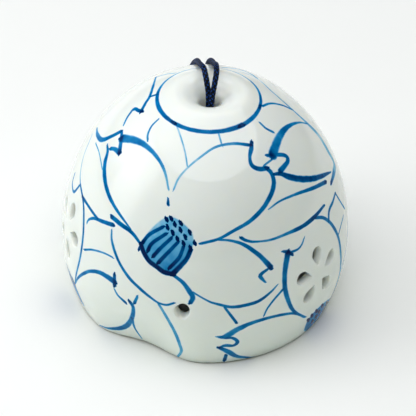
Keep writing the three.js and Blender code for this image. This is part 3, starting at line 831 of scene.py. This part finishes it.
def brushed_strokes(material, rag, flow):
    """How strong the cobalt of the strokes is: ragged at their edges, darker where two cross."""
    rough_edge = add(material, "MapRange", {"Value": rag.outputs["Fac"], "To Min": -0.18, "To Max": 0.18})
    ink = None
    for number in range(LAYERS):
        brush = add(material, "Attribute", attribute_name=f"brush_{number}")
        parts = add(material, "SeparateXYZ", {0: brush.outputs["Vector"]})
        across = add(material, "Math", {0: parts.outputs["X"]}, operation="ABSOLUTE")
        ragged = add(material, "Math", {0: across.outputs[0], 1: rough_edge.outputs[0]}, operation="ADD")
        body_of_stroke = add(material, "MapRange", {"Value": ragged.outputs[0], "From Min": 0.65,
                                                    "From Max": 1.4, "To Min": 1.0, "To Max": 0.0},
                             interpolation_type="SMOOTHSTEP")
        within = add(material, "MapRange", {"Value": parts.outputs["Y"], "From Min": 0.15, "From Max": 0.4,
                                            "To Min": 1.0, "To Max": 0.0})
        laid = add(material, "Math", {0: body_of_stroke.outputs[0], 1: within.outputs[0]},
                   operation="MULTIPLY")
        strong = add(material, "Math", {0: laid.outputs[0], 1: parts.outputs["Z"]}, operation="MULTIPLY")
        laid = add(material, "Math", {0: strong.outputs[0], 1: flow.outputs[0]}, operation="MULTIPLY",
                   use_clamp=True)
        if ink is None:
            ink = laid
            continue
        most = add(material, "Math", {0: ink.outputs[0], 1: laid.outputs[0]}, operation="MAXIMUM")
        both = add(material, "Math", {0: ink.outputs[0], 1: laid.outputs[0]}, operation="MULTIPLY")
        ink = add(material, "Math", {0: both.outputs[0], 1: 0.15, 2: most.outputs[0]},
                  operation="MULTIPLY_ADD")
    return ink


def brushed_wash(material, flow):
    """How strong the cobalt of the thin wash is."""
    kept = add(material, "Attribute", attribute_name="wash")
    wash = add(material, "SeparateXYZ", {0: kept.outputs["Vector"]})
    inside = add(material, "MapRange", {"Value": wash.outputs["X"], "From Min": -0.25, "From Max": 0.2,
                                        "To Min": 1.0, "To Max": 0.0})
    thin = add(material, "Math", {0: inside.outputs[0], 1: wash.outputs["Y"]}, operation="MULTIPLY")
    return add(material, "Math", {0: thin.outputs[0], 1: flow.outputs[0]}, operation="MULTIPLY")


def paint_glaze(material, shader, place, colour):
    """Cobalt over the body, less glossy where it lies, and a bare, dull foot in a dark grey that also paints
    the shade where the rim meets the floor.
    """
    rag = add(material, "TexNoise", {"Vector": place}, Scale=1 / (RAG_SIZE * MM), Detail=3)
    pooling = add(material, "TexNoise", {"Vector": place}, Scale=1 / (POOL_SIZE * MM), Detail=2)
    flow = add(material, "MapRange", {"Value": pooling.outputs["Fac"], "From Min": 0.3, "From Max": 0.7,
                                      "To Min": 0.8, "To Max": 1.15})
    ink = brushed_strokes(material, rag, flow)
    wash = brushed_wash(material, flow)
    between = add(material, "Math", {0: 1.0, 1: ink.outputs[0]}, operation="SUBTRACT", use_clamp=True)
    unwashed = add(material, "Math", {0: 1.0, 1: wash.outputs[0]}, operation="SUBTRACT")
    white = add(material, "Math", {0: between.outputs[0], 1: unwashed.outputs[0]}, operation="MULTIPLY")
    total = add(material, "Math", {0: 1.0, 1: white.outputs[0]}, operation="SUBTRACT", use_clamp=True)
    cobalt = add(material, "ValToRGB", {"Fac": total.outputs[0]})
    ramp = cobalt.color_ramp
    ramp.elements[0].color = linear(THIN_COBALT)
    ramp.elements[1].color = linear(FULL_COBALT)
    for share, code in COBALT:
        ramp.elements.new(share).color = linear(code)
    covered = add(material, "MapRange", {"Value": total.outputs[0], "From Min": 0.02, "From Max": 0.3})
    painted_body = add(material, "Mix", {"Factor": covered.outputs[0], "A": colour,
                                         "B": cobalt.outputs["Color"]}, data_type="RGBA")
    gloss = add(material, "MapRange", {"Value": covered.outputs[0], "To Min": GLAZE_GLOSS,
                                       "To Max": PAINT_GLOSS})
    material.node_tree.links.new(gloss.outputs[0], shader.inputs["Specular IOR Level"])
    foot = add(material, "Attribute", attribute_name="foot")
    wavy = add(material, "MapRange", {"Value": rag.outputs["Fac"], "To Min": -0.25, "To Max": 0.25})
    level = add(material, "Math", {0: foot.outputs["Fac"], 1: wavy.outputs[0]}, operation="ADD")
    bare = add(material, "MapRange", {"Value": level.outputs[0], "From Min": 0.3, "From Max": 0.5,
                                      "To Min": 1.0, "To Max": 0.0})
    dull = add(material, "MapRange", {"Value": bare.outputs[0], "To Min": GLAZE_ROUGHNESS,
                                      "To Max": BARE_ROUGHNESS})
    material.node_tree.links.new(dull.outputs[0], shader.inputs["Roughness"])
    # Painted shade: the foot's dark grey stands partly for the bare, unglazed porcelain and partly for the
    # shade along the rim on the floor.
    foot_with_painted_shade = add(material, "Mix", {"Factor": bare.outputs[0], "A": painted_body.outputs["Result"],
                                   "B": linear("#A0A294")}, data_type="RGBA")
    return foot_with_painted_shade.outputs["Result"]


def glazed_porcelain(name, painted):
    """White porcelain, cobalt brushed on under a clear glaze and fired: wet gloss, soft blue edges and a
    faint ripple."""
    material, shader = new_material(name)
    place = add(material, "TexCoord").outputs["Object"]
    cloud = add(material, "TexNoise", {"Vector": place}, Scale=1 / (CLOUD_SIZE * MM), Detail=2)
    body = add(material, "Mix", {"Factor": cloud.outputs["Fac"], "A": linear("#EBF0EA"),
                                 "B": linear("#F1F4F0")}, data_type="RGBA")
    colour = body.outputs["Result"]
    if painted:
        colour = paint_glaze(material, shader, place, colour)
    else:
        shader.inputs["Roughness"].default_value = GLAZE_ROUGHNESS
        shader.inputs["Specular IOR Level"].default_value = GLAZE_GLOSS
    material.node_tree.links.new(colour, shader.inputs["Base Color"])
    shader.inputs["IOR"].default_value = 1.52
    shader.inputs["Subsurface Weight"].default_value = 0.8
    shader.inputs["Subsurface Radius"].default_value = (1.0, 0.9, 0.75)
    shader.inputs["Subsurface Scale"].default_value = 4 * MM
    ripple = add(material, "TexNoise", {"Vector": place}, Scale=1 / (RIPPLE_SIZE * MM), Detail=1)
    bump = add(material, "Bump", {"Height": ripple.outputs["Fac"]}, Strength=0.05, Distance=1 * MM)
    material.node_tree.links.new(bump.outputs["Normal"], shader.inputs["Normal"])
    return material


def make_bell(material):
    mesh = bell_mesh()
    paint_bell(mesh)
    mesh.materials.clear()
    bell = finished("bell_glazed", mesh, material, "bell", "bell_shell")


make_bell(glazed_porcelain("glazed_porcelain_cobalt", painted=True))

# Clapper: radius and height, up its outer side to the middle, and down its bore to the knot's recess
CLAPPER_SIDE = [(4.2, 5), (5, 5.15), (5.7, 5.75), (6.5, 7.1), (7.2, 9.1), (7.5, 11.5)]
CLAPPER_BORE = [(1.3, 18), (1, 17.85), (0.9, 17.5), (0.9, 9.2), (3, 9.2), (3, 5.5), (3.15, 5.15), (3.5, 5)]
# Knots: room left to the solid, the turn at which the coil starts, and its points
KNOT_ROOM = 0.03
KNOT_START = 0.3
KNOT_POINTS = 240


def make_clapper(material):
    """The glazed barrel with its bore, and a recess below for the knot."""
    middle = CLAPPER_SIDE[-1][1]
    upper = [(radius, 2 * middle - height) for radius, height in CLAPPER_SIDE[-2::-1]]
    side = evenly(smooth(CLAPPER_SIDE + upper), CLAPPER_GRID)
    mesh = made_mesh("clapper_glazed", spun(np.vstack([side, CLAPPER_BORE]), CLAPPER_TURNS))
    finished("clapper_glazed", mesh, material, "clapper", "clapper")


def tie_knot(name, node, body, diameter, material):
    """A knot drawn tight: the cord coils out under it, then winds up to its top."""
    low, high = (np.array(corner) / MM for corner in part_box(node))
    reach = high[0] - diameter / 2 - KNOT_ROOM
    bottom, top = low[2] + diameter / 2 + KNOT_ROOM, high[2] - diameter / 2 - KNOT_ROOM
    flat, wound = reach / diameter, (top - bottom) / diameter
    turn = np.linspace(KNOT_START, flat + wound, KNOT_POINTS)
    out = np.minimum(turn / flat, 1) * reach
    up = bottom + np.clip((turn - flat) / wound, 0, 1) * (top - bottom)
    line = np.stack([out * np.cos(2 * np.pi * turn), out * np.sin(2 * np.pi * turn), up], 1)
    braid(name, line, diameter, material, body, node)


def hang_clapper(material):
    """The straight thin cord between the two knots."""
    low, high = (np.array(corner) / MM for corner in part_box("clapper_cord"))
    braid("clapper_cord_braid", [(0, 0, low[2]), (0, 0, high[2])], CLAPPER_CORD_DIAMETER, material, "clapper",
          "clapper_cord")


make_clapper(glazed_porcelain("glazed_porcelain_plain", painted=False))
tie_knot("stop_knot_coil", "stop_knot", "knot", CORD_DIAMETER, polyester)
tie_knot("clapper_knot_coil", "clapper_knot", "clapper", CLAPPER_CORD_DIAMETER, polyester)
hang_clapper(polyester)

# Light: a wide round softbox overhead, a tall window on the left, and soft walls on the left and behind
LAMP_AIM = (0, 0, 0.03)


def panel(name, azimuth, elevation, distance, width, height, radiance, soft, disc=False, slope=(0, 0, 0)):
    """A lamp whose face fades out towards its edges over a share of its size, so its reflection is soft. It
    may be round, and brighter towards one side."""
    lamp = bpy.data.lights.new(name, "AREA")
    lamp.shape = "RECTANGLE"
    lamp.size, lamp.size_y = width, height
    lamp.energy = radiance * math.pi * width * height
    lamp.use_nodes = True
    spot = add(lamp, "NewGeometry").outputs["Parametric"]
    middle = add(lamp, "VectorMath", {0: spot, 1: (0.5, 0.5, 0)}, operation="SUBTRACT")
    if disc:
        away = add(lamp, "VectorMath", {0: middle.outputs[0]}, operation="LENGTH").outputs["Value"]
        sides = [away, away]
    else:
        far = add(lamp, "VectorMath", {0: middle.outputs[0]}, operation="ABSOLUTE")
        sides = add(lamp, "SeparateXYZ", {0: far.outputs[0]}).outputs[:2]
    fades = [add(lamp, "MapRange", {"Value": side, "From Min": 0.5 - soft, "From Max": 0.5, "To Min": 1.0,
                                    "To Max": 0.0},
                 interpolation_type="SMOOTHSTEP").outputs[0] for side in sides]
    bright = add(lamp, "Math", {0: fades[0], 1: fades[1]}, operation="MULTIPLY")
    lean = add(lamp, "VectorMath", {0: middle.outputs[0], 1: slope}, operation="DOT_PRODUCT")
    bright = add(lamp, "Math", {0: bright.outputs[0], 1: lean.outputs["Value"], 2: bright.outputs[0]},
                 operation="MULTIPLY_ADD")
    lamp.node_tree.links.new(bright.outputs[0], lamp.node_tree.nodes["Emission"].inputs["Strength"])
    light = bpy.data.objects.new(name, lamp)
    back = turn_to_bell(light, azimuth, elevation)
    light.location = Vector(LAMP_AIM) + back * distance


panel("softbox", azimuth=0, elevation=89.9, distance=1.1, width=1.9, height=1.9, radiance=1.92, soft=0.015,
      disc=True, slope=(0.3, -0.4, 0))
panel("window", azimuth=-78, elevation=25, distance=0.9, width=0.49, height=0.73, radiance=1.6, soft=0.025)
panel("left_wall", azimuth=-95, elevation=30, distance=0.9, width=1.6, height=1, radiance=2.4, soft=0.5)
panel("back_wall", azimuth=180, elevation=40, distance=1.1, width=1.6, height=1, radiance=0.25, soft=0.5)


def set_room():
    """A faint, slightly green fill from all round."""
    room = bpy.data.worlds.new("room")
    bpy.context.scene.world = room
    room.use_nodes = True
    ambient = room.node_tree.nodes["Background"]
    ambient.inputs["Color"].default_value = linear("#D8F5D2")
    ambient.inputs["Strength"].default_value = 0.05


FLOOR_RADIUS = 4
FLOOR_STEPS = 64


def lay_floor():
    """White card: neutral to the eye and in reflections, a little greener in the light it throws back."""
    material, shader = new_material("matt_white_card")
    path = add(material, "LightPath").outputs
    seen = add(material, "Math", {0: path["Is Camera Ray"], 1: path["Is Glossy Ray"]}, operation="MAXIMUM")
    seen = add(material, "Math", {0: seen.outputs[0], 1: path["Is Transmission Ray"]}, operation="MAXIMUM")
    card = add(material, "Mix", {"Factor": seen.outputs[0], "A": linear("#F4FBF2"), "B": linear("#F1F2F2")},
               data_type="RGBA")
    material.node_tree.links.new(card.outputs["Result"], shader.inputs["Base Color"])
    shader.inputs["Roughness"].default_value = 0.9
    shader.inputs["Specular IOR Level"].default_value = 0.1
    bm = bmesh.new()
    bmesh.ops.create_circle(bm, cap_ends=True, segments=FLOOR_STEPS, radius=FLOOR_RADIUS)
    mesh = made_mesh("floor", bm)
    mesh.materials.append(material)
    floor = bpy.data.objects.new("floor", mesh)
    bpy.context.collection.objects.link(floor)


set_room()
lay_floor()
